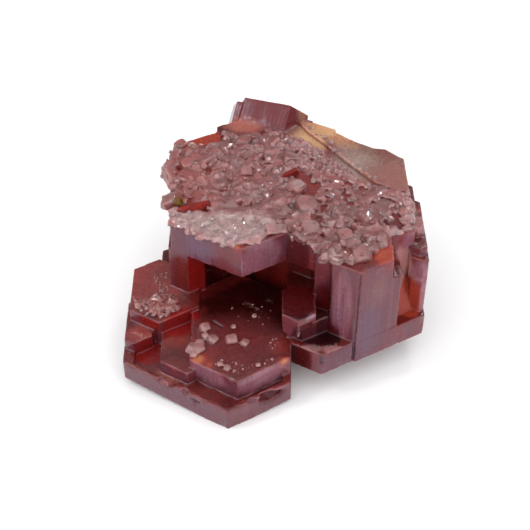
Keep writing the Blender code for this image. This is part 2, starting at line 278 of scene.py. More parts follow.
cad_mesh = frame["nodes"]["vanadinite_cluster"].data.copy()
cad_mesh.transform(Matrix.Scale(1.0 / MM, 4))
work = bmesh.new()
work.from_mesh(cad_mesh)
bmesh.ops.remove_doubles(work, verts=work.verts, dist=0.001)
work.to_mesh(cad_mesh)
work.free()
cad_mesh.materials.clear()
cluster_mesh = reshaped(cad_mesh, "cluster", "REMESH", {"mode": "VOXEL", "voxel_size": RELIEF_VOXEL})

points, normals, edges = mesh_arrays(cluster_mesh)
# The crystal that leans back behind the top plate has an axis of its own, and is grooved along that.
leaning_turn = np.array(Euler([math.radians(angle) for angle in LEANING_TURN_DEG]).to_matrix())
is_leaning = (points[:, 1] > 9.0) & (points[:, 2] > 14.9) & (points[:, 0] < 3.4)
grain = points.copy()
grain[is_leaning] = (points[is_leaning] - LEANING_CORNER) @ leaning_turn
grain_normals = normals.copy()
grain_normals[is_leaning] = normals[is_leaning] @ leaning_turn
upright = np.clip(1.0 - 1.6 * np.abs(grain_normals[:, 2]), 0.0, 1.0)
flat = np.clip(2.0 * grain_normals[:, 2] - 1.0, 0.0, 1.0)
ridge = ridges(points, normals, edges)

columns = grain * (1.0, 1.0, 0.07)
grooves = FINE_GROOVE * drift(columns, 0.32, 1) + BROAD_GROOVE * drift(columns, 0.95, 2)
swell = SWELL * drift(points, 2.2, 3)
layers = np.round(3.0 * drift(points * (1.0, 1.0, 0.3), 3.0, 4)) / 3.0
satin = LAYER_STEP * layers + LAYER_WAVE * drift(points, 0.4, 5)
chipped = np.clip(drift(points, 0.8, 6) + 0.6 * drift(points, 0.35, 7) - 0.30, 0.0, 1.0)
lift = upright * (grooves + swell) + flat * satin - ridge * (EDGE_WEAR + CHIP_DEPTH * chipped)
points = points + normals * lift[:, None]
cluster_mesh.vertices.foreach_set("co", points.ravel())
cluster_mesh.update()

# Where an orange glow is painted, for light shining through thin or clear crystal: x, y, z, radius,
# strength.
PAINTED_GLOW_PLACES = (
    (5.6, 11.6, 14.8, 3.2, 0.9), (7.6, 9.6, 14.9, 2.6, 0.6), (-3.9, 12.4, 14.5, 2.0, 0.5),
    (-2.4, 12.4, 14.5, 1.8, 0.5), (-7.4, 10.4, 14.5, 2.2, 0.35), (4.0, 12.6, 17.0, 2.4, 0.5),
    (3.0, -5.6, 13.2, 1.7, 0.45), (-3.5, -7.7, 14.5, 0.8, 0.7), (10.0, -8.9, 14.3, 2.2, 0.7),
    (-7.2, -13.2, 5.4, 1.3, 0.9), (-6.2, -13.9, 5.3, 0.9, 0.6), (0.2, -11.6, 5.4, 1.7, 0.5),
    (0.9, -13.4, 4.9, 0.9, 0.9), (12.3, -6.9, 7.0, 2.6, 0.6), (3.0, -11.3, 8.4, 1.6, 0.25),
    (14.0, -1.0, 13.4, 1.2, 0.5), (-13.0, -8.6, 5.0, 2.0, 0.3), (-9.0, -9.5, 4.0, 2.2, 0.35))
# Cracks and scratches: where each starts and ends, and its width.
CRACKS = (
    ((7.72, -11.45, 14.2), (7.55, -11.5, 3.1), 0.10),
    ((-7.9, -15.5, 2.3), (-7.2, -15.95, 2.25), 0.11), ((-7.55, -15.75, 2.3), (-7.6, -15.7, 1.9), 0.10),
    ((-0.6, -16.9, 2.6), (-0.5, -17.0, 1.4), 0.12), ((0.1, -16.4, 2.8), (0.2, -16.5, 1.7), 0.12),
    ((4.3, -13.35, 5.8), (4.35, -13.3, 4.7), 0.30), ((-6.0, -8.5, 5.6), (-5.1, -9.2, 5.55), 0.10))
# Pale hairlines: scratches, and painted highlights on edges that catch the light.
PALE_LINES = (
    ((3.0, 11.7, 15.0), (6.2, 6.9, 15.0), 0.13), ((6.2, 6.9, 15.0), (10.2, 1.7, 15.0), 0.10),
    ((-2.7, -6.2, 5.8), (-1.3, -7.25, 5.7), 0.06), ((-0.9, -5.9, 5.9), (-0.1, -5.8, 5.9), 0.06),
    ((2.25, -11.7, 8.9), (2.25, -11.7, 5.7), 0.09), ((13.75, -4.9, 14.2), (13.3, -6.2, 9.6), 0.09),
    ((-13.9, -8.9, 4.6), (-12.6, -9.6, 4.5), 0.08), ((8.0, -11.6, 14.2), (10.9, -9.8, 14.2), 0.12),
    ((-5.9, -8.6, 5.65), (-5.1, -9.3, 5.6), 0.07))
# How strong the painted mauve sheen is, for the white tent reflected in the upright faces.
PAINTED_SHEEN = 0.36
FACES_UP = (0.0, 0.0, 1.0)
FACES_LEFT = (-0.5, -0.87, 0.0)
FACES_RIGHT = (0.5, -0.87, 0.0)
# The tints that the crystals take: a colour, how much of the mirror finish is missing there, and how soft
# the rim of such a place is. The two darkest tints are painted shade on faces that lie in shade, mostly in
# the pocket.
# The mauve, bluish and plum tints are painted sheen, the tent reflected in upright faces; the plum one is a
# dimmer painted sheen, lowest near the floor.
TINTS = {
    # The orange ember tint is painted glow, for light shining through thin crystal.
    "pocket_shade": ("#1E0202", 1.0, 0.2), "blood": ("#780E0A", 0.9, 0.2), "rose": ("#823633", 0.3, 0.3),
    "painted_ember_glow": ("#963826", 0.7, 0.2), "painted_mauve_sheen": ("#8C5A66", 0.0, 0.3), "tan": ("#A06054", 0.3, 0.6),
    "honey": ("#C29870", 0.1, 0.5), "grey": ("#98827A", 0.1, 0.5), "plate": ("#682A2C", 0.3, 0.6),
    "deep_shade": ("#44080A", 1.0, 0.15), "veil": ("#8A5850", 0.1, 0.6), "painted_dim_sheen": ("#5E3040", 0.3, 0.8),
    "chip": ("#B88C8C", 0.0, 0.3), "lilac": ("#9A8090", 0.0, 0.3), "painted_blue_sheen": ("#604862", 0.0, 1.0),
    "buff": ("#80524A", 0.2, 1.0), "dusk": ("#62201F", 0.95, 0.4), "pale": ("#B47E7A", 0.0, 0.2)}
# Where the tints lie, each over those before it: the tint, the middle and the half widths of the place, the
# way that its faces look (None for any way), and the tint's share.
TINTED = (
    ("painted_mauve_sheen", (-1.4, -7.2, 12.5), (2.6, 1.8, 2.6), FACES_RIGHT, 0.6),
    ("pocket_shade", (2.0, -9.1, 9.0), (2.2, 2.8, 0.6), FACES_UP, 0.9),
    ("deep_shade", (2.0, -5.7, 11.0), (1.6, 2.2, 5.0), FACES_LEFT, 0.85),
    ("painted_dim_sheen", (2.8, -15.2, 1.4), (4.6, 3.4, 1.8), FACES_RIGHT, 0.6),
    ("painted_dim_sheen", (6.4, -12.4, 4.0), (2.4, 1.8, 3.0), FACES_RIGHT, 0.85),
    ("painted_dim_sheen", (9.4, -10.4, 8.0), (2.4, 1.9, 6.5), FACES_RIGHT, 0.75),
    ("rose", (12.6, -5.4, 12.0), (1.3, 1.5, 2.6), FACES_RIGHT, 0.6),
    ("pale", (13.8, -3.6, 13.6), (1.2, 1.7, 0.9), None, 0.5),
    ("painted_dim_sheen", (-8.2, -5.6, 13.0), (3.0, 1.8, 1.8), FACES_LEFT, 0.5),
    ("pocket_shade", (-1.4, -6.4, 5.6), (6.0, 3.8, 1.2), FACES_UP, 0.9),
    ("pocket_shade", (2.3, -11.9, 5.2), (1.1, 1.1, 3.0), FACES_LEFT, 0.8),
    ("pocket_shade", (2.8, -11.3, 6.6), (1.4, 1.4, 1.6), FACES_RIGHT, 0.55),
    ("pocket_shade", (4.6, -9.8, 8.6), (1.0, 1.1, 5.4), None, 0.8),
    ("blood", (-7.9, -4.8, 8.0), (1.2, 1.4, 3.6), FACES_RIGHT, 0.9),
    ("dusk", (-9.2, -4.7, 8.2), (1.3, 1.2, 2.6), FACES_LEFT, 0.5),
    ("blood", (-9.4, -7.8, 4.8), (2.2, 1.6, 2.0), None, 0.8),
    ("blood", (-12.3, -10.3, 3.0), (1.6, 1.4, 1.7), None, 0.8),
    ("blood", (-12.6, -8.7, 5.4), (2.2, 0.9, 0.7), FACES_LEFT, 0.9),
    ("rose", (-13.3, -9.3, 4.5), (1.5, 1.0, 0.6), FACES_UP, 0.8),
    ("rose", (-12.2, -3.9, 6.4), (3.2, 4.4, 0.6), FACES_UP, 0.85),
    ("tan", (-10.1, -12.9, 2.6), (1.4, 1.1, 0.5), FACES_UP, 0.5),
    ("painted_ember_glow", (13.1, -6.6, 7.0), (1.5, 1.6, 2.8), None, 0.95),
    ("painted_mauve_sheen", (14.4, -7.0, 7.0), (0.7, 1.2, 2.4), FACES_RIGHT, 0.8),
    ("blood", (11.7, -5.8, 14.0), (1.0, 1.0, 1.9), FACES_RIGHT, 0.55),
    ("painted_mauve_sheen", (12.9, -5.2, 11.6), (1.2, 1.2, 2.2), FACES_RIGHT, 0.8),
    ("painted_mauve_sheen", (13.9, -6.5, 10.3), (0.9, 1.0, 1.4), None, 0.75),
    ("painted_ember_glow", (10.1, -7.9, 14.5), (1.2, 2.4, 0.5), FACES_UP, 0.75),
    ("plate", (-3.4, -10.9, 5.4), (5.0, 3.4, 0.8), FACES_UP, 0.65),
    ("honey", (7.7, 8.4, 14.5), (1.9, 2.0, 0.6), FACES_UP, 0.55),
    ("pocket_shade", (4.4, -10.9, 5.6), (1.9, 1.3, 0.5), FACES_UP, 0.8),
    ("pocket_shade", (5.3, -11.0, 5.9), (1.0, 1.0, 1.3), None, 0.8),
    ("chip", (3.3, -12.3, 5.5), (1.2, 0.6, 0.4), FACES_UP, 0.4),
    ("chip", (5.3, -12.4, 5.5), (1.4, 0.6, 0.4), FACES_UP, 0.4),
    ("lilac", (3.3, -11.1, 8.7), (1.1, 0.6, 0.35), None, 0.6),
    ("painted_blue_sheen", (8.8, -11.2, 6.4), (1.5, 1.6, 3.2), FACES_RIGHT, 0.4),
    ("buff", (9.6, -10.5, 11.4), (1.5, 1.4, 1.9), FACES_RIGHT, 0.45),
    ("painted_mauve_sheen", (6.2, -10.8, 9.4), (1.1, 1.2, 4.4), FACES_LEFT, 0.5),
    ("painted_blue_sheen", (5.9, -11.2, 9.0), (0.7, 0.8, 2.4), FACES_LEFT, 0.6),
    ("painted_blue_sheen", (-7.3, -6.0, 12.6), (1.9, 1.2, 1.7), FACES_LEFT, 0.5),
    ("painted_blue_sheen", (-0.6, -15.2, 4.0), (1.7, 1.7, 1.4), FACES_RIGHT, 0.6),
    ("painted_blue_sheen", (-6.9, -13.9, 4.2), (1.3, 1.0, 1.0), FACES_LEFT, 0.6),
    ("painted_dim_sheen", (-9.6, -14.9, 1.4), (8.0, 4.4, 1.9), FACES_LEFT, 0.7),
    ("dusk", (-0.4, 12.6, 15.8), (4.6, 2.4, 1.6), None, 0.8),
    ("pale", (12.1, -6.2, 10.5), (1.2, 2.0, 2.0), None, 0.85),
    ("painted_mauve_sheen", (-6.2, -14.2, 4.1), (2.4, 1.5, 1.3), FACES_LEFT, 0.8),
    ("painted_mauve_sheen", (-1.4, -14.4, 3.8), (2.8, 2.0, 1.6), FACES_RIGHT, 0.8),
    ("honey", (3.6, 12.9, 16.2), (1.2, 1.4, 1.6), None, 0.7),
    ("painted_ember_glow", (-7.2, 10.2, 14.5), (1.7, 1.9, 0.5), FACES_UP, 0.85),
    ("tan", (-3.2, 12.3, 14.5), (2.2, 1.5, 0.5), FACES_UP, 0.8),
    ("painted_ember_glow", (-8.0, 3.0, 14.5), (3.2, 6.5, 0.5), FACES_UP, 0.6),
    ("rose", (2.5, 3.0, 14.5), (9.0, 7.0, 0.5), FACES_UP, 0.6),
    ("honey", (5.6, 10.2, 14.5), (3.2, 2.6, 0.6), FACES_UP, 0.9),
    ("grey", (9.0, 5.0, 14.5), (2.7, 3.0, 0.6), FACES_UP, 0.85),
    ("veil", (12.0, 2.3, 14.8), (2.2, 3.2, 0.8), FACES_UP, 0.8),
    ("deep_shade", (2.0, -9.1, 9.0), (2.2, 2.4, 0.5), FACES_UP, 0.9),
    ("deep_shade", (4.4, -8.8, 7.2), (0.9, 1.3, 3.6), FACES_LEFT, 0.9),
    ("deep_shade", (5.3, -10.5, 5.8), (0.9, 0.9, 1.3), FACES_LEFT, 0.9),
    ("deep_shade", (2.6, -12.4, 4.0), (1.0, 1.0, 2.2), FACES_LEFT, 0.8),
    ("deep_shade", (-0.5, -14.9, 2.1), (1.8, 1.3, 0.8), None, 0.75),
    ("honey", (4.2, 10.0, 14.8), (2.2, 2.2, 0.6), None, 0.4),
    ("grey", (7.2, 5.8, 14.8), (2.0, 2.6, 0.6), None, 0.4),
    ("veil", (9.8, 2.4, 14.8), (1.6, 1.9, 0.6), None, 0.5))
# Where a tan clouding covers the top, as outlines seen from above: the terrace at the back, and its ridge.
TERRACE = [(2.6, 11.4), (4.2, 8.9), (6.3, 6.2), (8.4, 3.4), (10.6, 0.9), (13.4, 0.2), (14.0, 7.0),
           (9.0, 10.0), (4.0, 14.0)]
BAND = [(0.8, 12.6), (1.2, 9.8), (3.0, 9.2), (5.0, 7.0), (6.6, 4.6), (8.2, 2.2), (10.4, 0.2), (10.9, 1.2),
        (6.4, 6.9), (4.0, 10.6), (2.8, 12.2)]


def crack_share(points, cracks):
    """How near the points are to the cracks, from 0 outside them to 1 along their middle."""
    total = np.zeros(len(points))
    for start, end, width in cracks:
        begin = np.array(start)
        length = np.array(end) - begin
        share = np.clip((points - begin) @ length / (length @ length), 0.0, 1.0)
        way = begin + share[:, None] * length
        away = np.linalg.norm(points - way - 0.05 * drift(way, 0.5, 51)[:, None], axis=1)
        total = np.maximum(total, np.clip(1.4 - away / width, 0.0, 1.0))
    return total


def tinted(points, normals):
    """The colour that each corner takes from the tints, its share, and what mirror finish is left there."""
    colours = np.zeros((len(points), 4))
    finish = np.ones(len(points))
    for tint, middle, reach, looks, share in TINTED:
        hex_colour, lost, soft = TINTS[tint]
        away = np.linalg.norm((points - middle) / reach, axis=1)
        weight = share * np.clip((1.0 + 0.4 * soft - away + 0.12 * drift(points, 0.9, 61)) / soft, 0.0, 1.0)
        if looks:
            weight *= np.clip(2.5 * normals @ np.array(looks) - 1.2, 0.0, 1.0)
        covered = weight + colours[:, 3] * (1.0 - weight)
        part = np.divide(weight, covered, out=np.zeros(len(points)), where=covered > 0.0)[:, None]
        colours[:, :3] = colours[:, :3] * (1.0 - part) + np.array(linear(hex_colour)[:3]) * part
        colours[:, 3] = covered
        finish *= 1.0 - lost * weight
    return colours, finish


cracked = crack_share(points, CRACKS)
points = points - normals * (CRACK_DEPTH * cracked)[:, None]
cluster_mesh.vertices.foreach_set("co", points.ravel())
cluster_mesh.update()
x, y, z = points.T
on_top = ramp(z, 14.2, 0.3) * ~is_leaning
# The pocket below the overhang lies in shade: it keeps clear of the painted sheen and of most pale worn
# edges and painted edge highlights.
pocket_shade = ramp(y, -7.6, 0.6) * ramp(-z, -11.0, 0.8) * ramp(x, -10.2, 0.6) * ramp(-x, -5.2, 0.6)
keep(cluster_mesh, "flat", flat)
keep(cluster_mesh, "edge_wear_and_highlight", ridge * (1.0 - 0.85 * pocket_shade))
keep(cluster_mesh, "crack", cracked)
keep(cluster_mesh, "hairline_and_highlight", crack_share(points, PALE_LINES))
keep(cluster_mesh, "thin", np.clip(2.2 * spread(ridge, edges, 30), 0.0, 1.0))
# Painted glow, for light shining through thin or clear crystal.
keep(cluster_mesh, "painted_glow", spots(points, PAINTED_GLOW_PLACES))
# Painted sheen, for the white tent reflected in the faces.
keep(cluster_mesh, "painted_sheen", PAINTED_SHEEN * (1.0 - pocket_shade))
keep(cluster_mesh, "cloud",
     on_top * np.maximum(zone(points, TERRACE, 0.8, 0.4), zone(points, BAND, 0.6, 0.3)))
colours, finish = tinted(points, normals)
keep(cluster_mesh, "tint_share", colours[:, 3])
keep(cluster_mesh, "mirror", finish)
layer = cluster_mesh.attributes.new("tint", "FLOAT_VECTOR", "POINT")
layer.data.foreach_set("vector", colours[:, :3].astype(np.float32).ravel())
layer = cluster_mesh.attributes.new("grain", "FLOAT_VECTOR", "POINT")
layer.data.foreach_set("vector", (grain * MM).astype(np.float32).ravel())
cluster_mesh = thinned(cluster_mesh, "cluster", RELIEF_TRIANGLES)
cluster_mesh.transform(Matrix.Scale(MM, 4))
cluster_mesh.shade_smooth()
cluster = bpy.data.objects.new("vanadinite_crystals", cluster_mesh)
collection.objects.link(cluster)


# Vanadinite refracts light strongly (about 2.4), but these faces are dulled, so the sheen is a weak coat on
# a deep red body, with a painted mauve sheen in the colour for the white tent that the faces reflect. The
# upright faces carry fine grooves along the crystal's axis, and growth layers dull the flat ones. Patterns
# are given in cycles to the millimetre.
GROOVE_MM = 0.22                     # real grooves are finer; this is as fine as shows
BODY_RED = "#4E0F10"
BODY_RED_BRIGHT = "#741D18"
FLAT_RED = "#4C100E"
FLAT_RED_LIGHT = "#6C201C"
PAINTED_SHEEN_MAUVE = "#76404C"
PAINTED_SHEEN_BLUE = "#5E4458"
PAINTED_GLOW_DEEP = "#9A2A14"
PAINTED_GLOW_ORANGE = "#C07C48"
CLOUD_TAN = "#7C5A4C"
CLOUD_ROSE = "#75403A"
EDGE_PALE_WEAR_AND_HIGHLIGHT = "#A87876"
HAIRLINE_AND_HIGHLIGHT_PALE = "#C89A92"
CRACK_DARK = "#1A0304"
MIRROR_COAT = 0.42


def pattern(tree, place, cycles_per_mm, detail, roughness=0.55, distortion=0.0):
    """A soft random pattern, from 0 to 1, with so many cycles to the millimetre on each axis."""
    place = add(tree, "ShaderNodeMapping", {
        "Vector": place, "Scale": [cycles / MM for cycles in cycles_per_mm]})
    return add(tree, "ShaderNodeTexNoise", {
        "Vector": place, "Scale": 1.0, "Detail": detail, "Roughness": roughness,
        "Distortion": distortion}).outputs["Fac"]


def graded(tree, value, low=0.0, high=1.0, least=0.0, most=1.0, share=1.0):
    """What a value gives, from the least where it is low to the most where it is high, times a share."""
    part = add(tree, "ShaderNodeMapRange", {
        "Value": value, "From Min": low, "From Max": high, "To Min": least, "To Max": most})
    return add(tree, "ShaderNodeMath", {0: share, 1: part}, operation="MULTIPLY").outputs[0]


def stained(tree, ground, stain, *grade):
    """A colour with another laid over it, by the share that graded makes of the rest."""
    return add(tree, "ShaderNodeMix", {0: graded(tree, *grade), 6: ground, 7: stain},
               data_type="RGBA").outputs[2]


vanadinite = bpy.data.materials.new("vanadinite_growth_faces")
vanadinite.use_nodes = True
tree = vanadinite.node_tree
shader = tree.nodes["Principled BSDF"]
along = add(tree, "ShaderNodeAttribute", attribute_name="grain").outputs["Vector"]
flatness, painted_glow, cloud, edge_wear_and_highlight, crack, hairline_and_highlight, painted_sheen, thin, tinge, mirror = [
    add(tree, "ShaderNodeAttribute", attribute_name=name).outputs["Fac"]
    for name in ("flat", "painted_glow", "cloud", "edge_wear_and_highlight", "crack", "hairline_and_highlight", "painted_sheen", "thin", "tint_share",
                 "mirror")]
streaks = pattern(tree, along, (1.0 / GROOVE_MM, 1.0 / GROOVE_MM, 0.12), 4.0, 0.6)
broad_streaks = pattern(tree, along, (0.9, 0.9, 0.10), 2.0)
blotches = pattern(tree, along, (0.45, 0.45, 0.45), 4.0, 0.6, 0.6)
drifts = pattern(tree, along, (0.30, 0.30, 0.22), 3.0, 0.6, 0.8)
fine = pattern(tree, along, (2.4, 2.4, 2.4), 3.0)
specks = pattern(tree, along, (2.6, 2.6, 0.7), 4.0, 0.7)

# The body: upright faces streaked along the axis under a painted mauve sheen, the reflected tent, weaker
# near edges; flat faces blotched.
all_streaks = add(tree, "ShaderNodeMix", {0: 0.75, 2: streaks, 3: broad_streaks})
upright_colour = stained(tree, BODY_RED, BODY_RED_BRIGHT, all_streaks, 0.28, 0.75)
painted_sheen_colour = stained(tree, PAINTED_SHEEN_BLUE, PAINTED_SHEEN_MAUVE, drifts, 0.35, 0.62)
painted_sheen = graded(tree, drifts, 0.30, 0.70, 1.35, 0.65, painted_sheen)
painted_sheen = graded(tree, thin, 0.1, 0.9, 1.0, 0.45, painted_sheen)
upright_colour = stained(tree, upright_colour, painted_sheen_colour, streaks, 0.3, 0.7, 1.1, 0.8, painted_sheen)
flat_colour = stained(tree, FLAT_RED, FLAT_RED_LIGHT, blotches, 0.35, 0.7)
colour = stained(tree, upright_colour, flat_colour, flatness)
cloud_colour = stained(tree, CLOUD_TAN, CLOUD_ROSE, blotches, 0.4, 0.62)
colour = stained(tree, colour, cloud_colour, blotches, 0.25, 0.6, 1.0, 0.75, cloud)
# Painted glow: orange light shining out of thin places, laid into the colour.
painted_glow_colour = stained(tree, PAINTED_GLOW_DEEP, PAINTED_GLOW_ORANGE, painted_glow, 0.45, 1.0)
blotched_painted_glow = add(tree, "ShaderNodeMath", {0: blotches, 1: 0.3, 2: painted_glow}, operation="MULTIPLY_ADD")
colour = stained(tree, colour, painted_glow_colour, blotched_painted_glow, 0.25, 0.95, 0.0, 0.85)

# The tints, shaded by the streaks and blotches; the streaks and the speckle break up their rims.
shade = add(tree, "ShaderNodeMath", {0: streaks, 1: blotches}, operation="ADD")
tint = add(tree, "ShaderNodeVectorMath", {
    0: add(tree, "ShaderNodeAttribute", attribute_name="tint").outputs["Vector"],
    3: graded(tree, shade, 0.7, 1.3, 0.82, 1.18)}, operation="SCALE")
speckle = add(tree, "ShaderNodeMath", {0: streaks, 1: fine}, operation="ADD")
clear_of_tint = add(tree, "ShaderNodeMath", {0: 1.0, 1: tinge}, operation="SUBTRACT")
unsure = add(tree, "ShaderNodeMath", {0: tinge, 1: clear_of_tint}, operation="MULTIPLY")
tinge = add(tree, "ShaderNodeMath", {0: tinge, 1: graded(tree, speckle, 0.7, 1.3, -0.7, 0.7, unsure)},
            operation="ADD")
colour = stained(tree, colour, tint, tinge)

# Flaws, pale worn edges with painted edge highlights, hairlines and painted highlights on edges, and
# cracks.
flaw = graded(tree, blotches, 0.45, 0.55, 0.0, 1.0, graded(tree, specks, 0.64, 0.70, 0.0, 0.6))
colour = stained(tree, colour, CRACK_DARK, cloud, 0.0, 0.5, 1.0, 0.0, flaw)
colour = stained(tree, colour, EDGE_PALE_WEAR_AND_HIGHLIGHT, blotches, 0.42, 0.65, 0.0, 0.26, edge_wear_and_highlight)
colour = stained(tree, colour, HAIRLINE_AND_HIGHLIGHT_PALE, fine, 0.42, 0.58, 0.1, 0.75, hairline_and_highlight)
colour = stained(tree, colour, CRACK_DARK, crack, 0.0, 1.0, 0.0, 0.85)
tree.links.new(colour, shader.inputs["Base Color"])
dulled = add(tree, "ShaderNodeMath", {
    0: graded(tree, flatness, 0.0, 1.0, 0.20, 0.28), 1: graded(tree, fine, 0.35, 0.7, -0.03, 0.10)},
    operation="ADD")
tree.links.new(dulled.outputs[0], shader.inputs["Roughness"])
groove_bump = add(tree, "ShaderNodeBump", {
    "Height": streaks, "Strength": graded(tree, flatness, 0.0, 1.0, 0.20, 0.0), "Distance": 0.04 * MM})
layer_bump = add(tree, "ShaderNodeBump", {
    "Height": fine, "Strength": graded(tree, flatness, 0.0, 1.0, 0.05, 0.22), "Distance": 0.05 * MM,
    "Normal": groove_bump})
tree.links.new(layer_bump.outputs["Normal"], shader.inputs["Normal"])
tree.links.new(graded(tree, mirror, 0.0, 1.0, 0.0, MIRROR_COAT), shader.inputs["Coat Weight"])
for socket, value in (
        ("Coat IOR", 1.62), ("Coat Roughness", 0.16), ("IOR", 1.5), ("Specular IOR Level", 0.25),
        ("Specular Tint", (0.86, 0.84, 1.0, 1.0)), ("Subsurface Weight", 0.4),
        ("Subsurface Radius", (1.0, 0.16, 0.08)), ("Subsurface Scale", 1.3 * MM)):
    shader.inputs[socket].default_value = value
cluster_mesh.materials.clear()
cluster_mesh.materials.append(vanadinite)
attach(cluster, "root")
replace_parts(cluster, "vanadinite_cluster")


# ------------------------ the druse on the top plate
# A crust of small pale crystals that grew over the vanadinite later: glassy grains of a quarter of a
# millimetre to two millimetres, fused where they touch, and a sugary white band along the front edge.

PLATE_HEIGHT = 14.55                 # mm; the flat that the crust grows on
GRAIN_FORMS = 6
LOWNESS = 0.85                       # a grain's height over its width
GRAIN_BEVEL = 0.09
DENSEST = 60.0                       # grains to the square millimetre, before the spacing thins them
SMALL_ARE_MORE = 1.8                 # how much commoner the small grains are than the large ones
BIG_GRAIN_LEAN_DEG = 12.0
CRUST_VOXEL = 0.10
CRUST_TRIANGLES = 98000
# The big clear grains that stand out of the crust: x, y, width, turn in degrees.
BIG_GRAINS = (
    (2.9, -2.3, 1.8, 20.0), (2.0, 0.6, 1.6, 50.0), (-3.2, 8.6, 1.3, 80.0), (-2.9, 3.4, 1.1, 0.0),
    (-8.9, 4.6, 1.3, 30.0), (1.5, 5.6, 1.2, 100.0), (6.4, -6.8, 1.3, 15.0), (-9.7, 8.2, 1.0, 40.0))


def grain_form(number):
    """A grain a millimetre across: a skewed block, its corners broken off by chance, its edges bevelled."""
    chance = np.random.default_rng(100 + number)
    form = bmesh.new()
    for x in (-0.5, 0.5):
        for y in (-0.5, 0.5):
            for z in (-0.42, 0.42):
                cut = chance.uniform(0.22, 0.46, 3)
                for axis in range(3):
                    corner = np.array((x, y, z * LOWNESS))
                    corner[axis] *= 1.0 - 2.0 * cut[axis] * 0.8
                    corner += chance.uniform(-0.04, 0.04, 3)
                    form.verts.new(corner + (0.18 * z, -0.12 * z, 0.0))
    hull = bmesh.ops.convex_hull(form, input=form.verts)
    spare = {item for item in hull["geom_interior"] + hull["geom_unused"]
             if isinstance(item, bmesh.types.BMVert)}
    bmesh.ops.delete(form, geom=list(spare), context="VERTS")
    bmesh.ops.dissolve_limit(form, angle_limit=math.radians(9.0), verts=form.verts, edges=form.edges)
    bmesh.ops.bevel(form, geom=form.edges, offset=GRAIN_BEVEL, segments=1, affect="EDGES",
                    clamp_overlap=True)
    bmesh.ops.recalc_face_normals(form, faces=form.faces)
    mesh = bpy.data.meshes.new(f"grain_form_{number}")
    form.to_mesh(mesh)
    form.free()
    return mesh


grain_forms = bpy.data.collections.new("grain_forms")
collection.children.link(grain_forms)
for number in range(GRAIN_FORMS):
    grain_forms.objects.link(bpy.data.objects.new(f"grain_form_{number}", grain_form(number)))


def druse_tree(name, finish):
    """A node tree that strews grains over the faces it gets, each turned and sized by chance."""
    tree = bpy.data.node_groups.new(name, "GeometryNodeTree")
    tree.interface.new_socket("Ground", in_out="INPUT", socket_type="NodeSocketGeometry")
    for label in ("Spacing", "Smallest", "Largest", "Tilt"):
        tree.interface.new_socket(label, in_out="INPUT", socket_type="NodeSocketFloat")
    tree.interface.new_socket("Seed", in_out="INPUT", socket_type="NodeSocketInt")
    tree.interface.new_socket("Druse", in_out="OUTPUT", socket_type="NodeSocketGeometry")
    given = add(tree, "NodeGroupInput").outputs
    strewn = add(tree, "GeometryNodeDistributePointsOnFaces", {
        "Mesh": given["Ground"], "Distance Min": given["Spacing"], "Density Max": DENSEST,
        "Seed": given["Seed"]}, distribute_method="POISSON")
    forms = add(tree, "GeometryNodeCollectionInfo", {
        "Collection": grain_forms, "Separate Children": True, "Reset Children": True})
    chance = add(tree, "FunctionNodeRandomValue", {
        2: 0.0, 3: 1.0, "Seed": given["Seed"]}, data_type="FLOAT")
    skewed = add(tree, "ShaderNodeMath", {0: chance.outputs[1], 1: SMALL_ARE_MORE}, operation="POWER")
    size = add(tree, "ShaderNodeMapRange", {
        "Value": skewed, "To Min": given["Smallest"], "To Max": given["Largest"]})
    lean = add(tree, "FunctionNodeRandomValue", {0: (-1.0, -1.0, -math.pi), 1: (1.0, 1.0, math.pi),
                                                 "Seed": given["Seed"]}, data_type="FLOAT_VECTOR")
    tilt = add(tree, "ShaderNodeCombineXYZ", {"X": given["Tilt"], "Y": given["Tilt"], "Z": 1.0})
    turn = add(tree, "ShaderNodeVectorMath", {0: lean, 1: tilt}, operation="MULTIPLY")
    stance = add(tree, "FunctionNodeRotateRotation", {
        "Rotation": strewn.outputs["Rotation"], "Rotate By": turn}, rotation_space="LOCAL")
    placed = add(tree, "GeometryNodeInstanceOnPoints", {
        "Points": strewn, "Instance": forms, "Pick Instance": True, "Rotation": stance, "Scale": size})
    real = add(tree, "GeometryNodeRealizeInstances", {"Geometry": placed})
    add(tree, "NodeGroupOutput", {
        0: add(tree, "GeometryNodeSetMaterial", {"Geometry": real, "Material": finish})})
    return tree


def flat_ground(outline, height, slope=0.0):
    """A flat face, looking up, for grains to grow on; the slope is its rise to the back."""
    ground = bpy.data.meshes.new("ground")
    ground.from_pydata([(x, y, height + slope * y) for x, y in outline], [], [list(range(len(outline)))])
    if ground.polygons[0].normal.z < 0.0:
        ground.flip_normals()
    return ground


def big_grains(places, height, slope=0.0):
    """Single grains, listed one by one, half sunk in what they grow on."""
    made = bmesh.new()
    for number, (x, y, width, turn) in enumerate(places):
        form = grain_forms.objects[number % GRAIN_FORMS].data.copy()
        form.transform(Matrix.Translation((x, y, height + slope * y))
                       @ Matrix.Rotation(math.radians(turn), 4, "Z")
                       @ Matrix.Rotation(math.radians(BIG_GRAIN_LEAN_DEG), 4, "X") @ Matrix.Scale(width, 4))
        made.from_mesh(form)
    mesh = bpy.data.meshes.new("big_grains")
    made.to_mesh(mesh)
    made.free()
    return mesh


def strewn_grains(ground, tree, spacing, smallest, largest, tilt, seed):
    """The grains, in millimetres, that the tree strews over a surface."""
    carrier = bpy.data.objects.new("ground", ground)
    collection.objects.link(carrier)
    step = carrier.modifiers.new("druse", "NODES")
    step.node_group = tree
    for label, value in (("Spacing", spacing), ("Smallest", smallest), ("Largest", largest),
                         ("Tilt", tilt), ("Seed", seed)):
        step[tree.interface.items_tree[label].identifier] = value
    made = bpy.data.meshes.new_from_object(carrier.evaluated_get(bpy.context.evaluated_depsgraph_get()))
    bpy.data.objects.remove(carrier)
    return made


